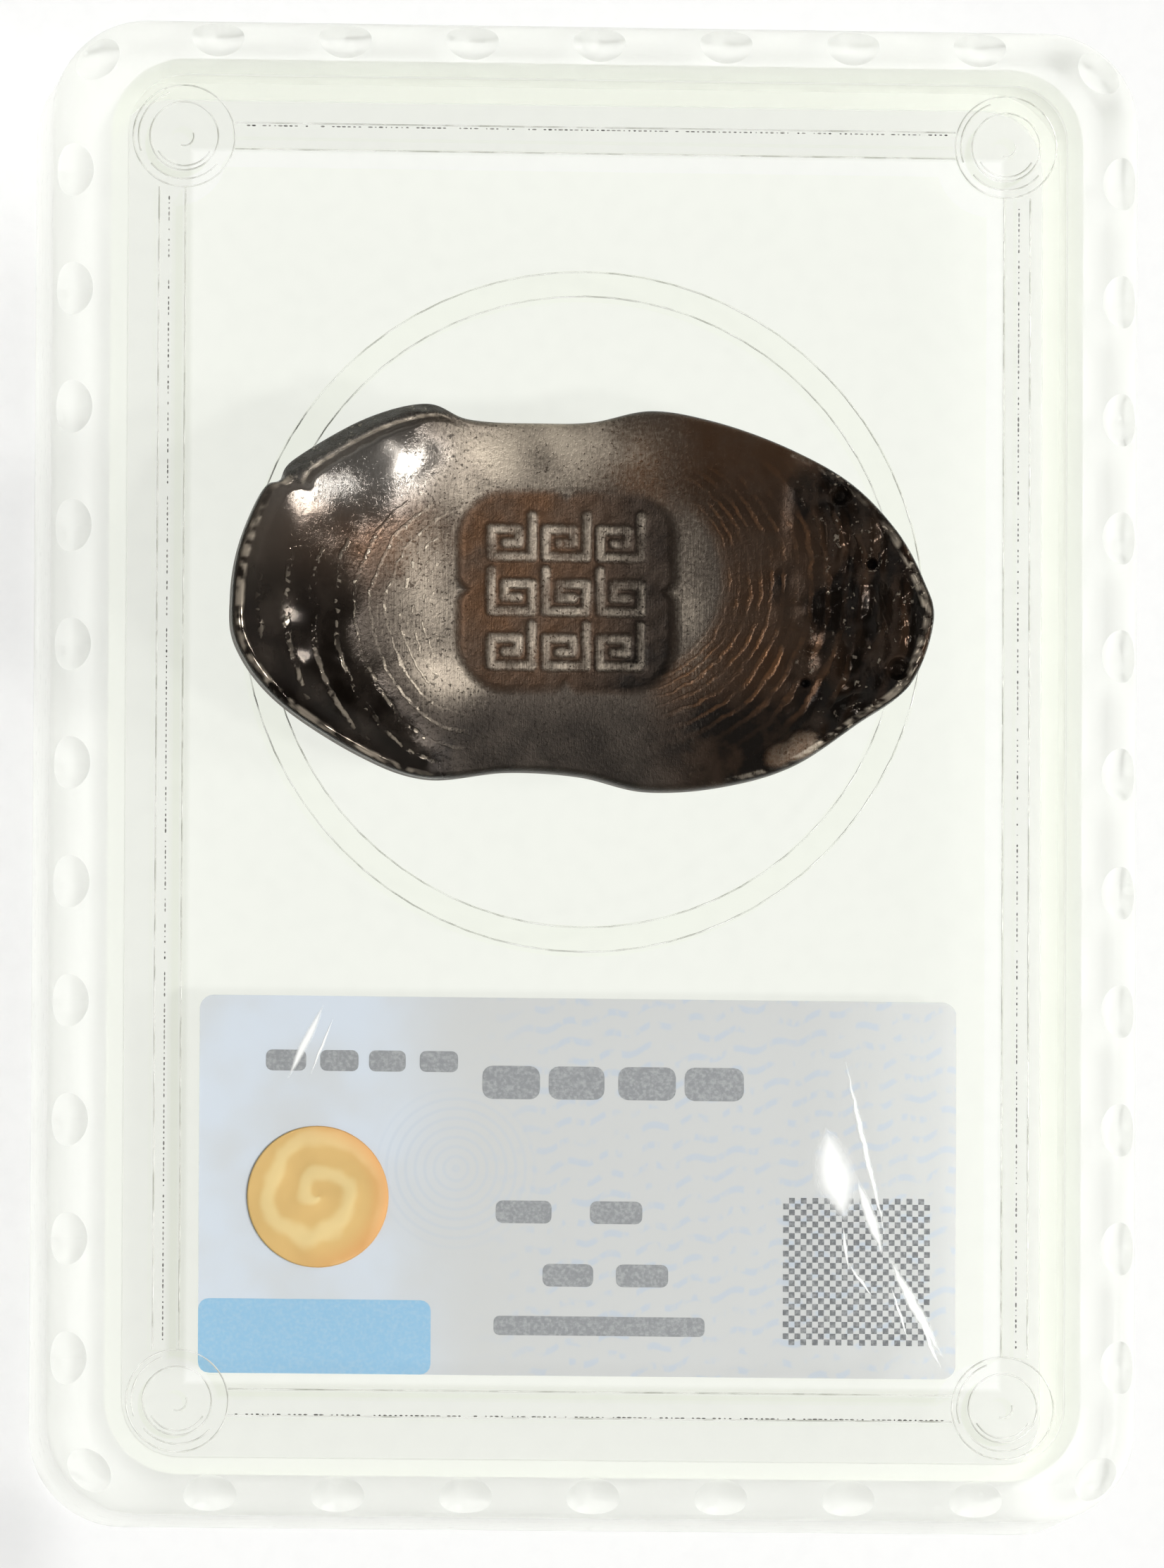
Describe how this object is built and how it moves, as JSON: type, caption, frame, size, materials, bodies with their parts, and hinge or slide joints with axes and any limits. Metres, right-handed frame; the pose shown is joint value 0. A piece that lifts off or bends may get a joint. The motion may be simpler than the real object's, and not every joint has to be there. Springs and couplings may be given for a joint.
{
  "type": "cased silver sycee ingot",
  "caption": "Small boat-shaped silver sycee ingot with a stamped panel, sealed in a clear welded display case with a frosted edge frame, a card and a foil seal.",
  "frame": {"origin": "centre of the case's rear rest face, in its lowest plane", "axes": "+Z out of the front window, +Y along the case away from the label, +X to the right of the front view"},
  "size_m": [0.062, 0.085, 0.018],
  "materials": {
    "frosted_frame": "frosted translucent soft plastic",
    "clear_cover": "polished clear acrylic",
    "clear_tray": "clear moulded plastic",
    "toned_silver": "cast silver with a dark brown tone, worn bright on the high spots",
    "printed_card": "glossy printed card",
    "gold_foil": "ringed gold foil"
  },
  "bodies": {
    "root": {"bumper_frame": "frosted_frame", "front_cover": "clear_cover", "rear_cover": "clear_cover", "inner_tray": "clear_tray", "well_ring": "clear_tray", "ingot": "toned_silver", "label_card": "printed_card", "seal_sticker": "gold_foil"}
  },
  "joints": []
}
